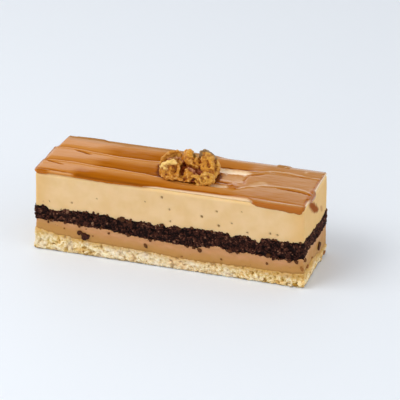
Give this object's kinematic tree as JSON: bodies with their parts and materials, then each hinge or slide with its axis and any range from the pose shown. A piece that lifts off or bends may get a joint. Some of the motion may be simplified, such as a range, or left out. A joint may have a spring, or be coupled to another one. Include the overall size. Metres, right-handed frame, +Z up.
{
  "type": "layered cream cake slice",
  "caption": "Bar-shaped slice of layered cake: pale sponge, mocha cream, dark chocolate cake, caramel cream, a combed caramel glaze and a walnut half on top.",
  "frame": {"origin": "centre of the bounding box at the underside, where the slice rests", "axes": "+X along the bar to the right end, +Y from the front cut to the back cut, +Z up through the layers to the walnut"},
  "size_m": [0.1328, 0.0402, 0.0525],
  "materials": {
    "sponge": "open, dry vanilla sponge crumb, matt",
    "mocha_cream": "smooth light brown mocha cream, satin",
    "chocolate_cake": "dark chocolate cake crumb, matt",
    "caramel_cream": "smooth pale caramel cream with a few air holes, satin",
    "caramel_glaze": "glossy caramel glaze, combed in bands",
    "walnut": "walnut kernel, golden with brown skin in its folds, slightly oily"
  },
  "bodies": {
    "root": {"sponge_base": "sponge", "mocha_cream": "mocha_cream", "chocolate_cake": "chocolate_cake", "caramel_cream": "caramel_cream", "caramel_glaze": "caramel_glaze", "walnut_half": "walnut"}
  },
  "joints": []
}
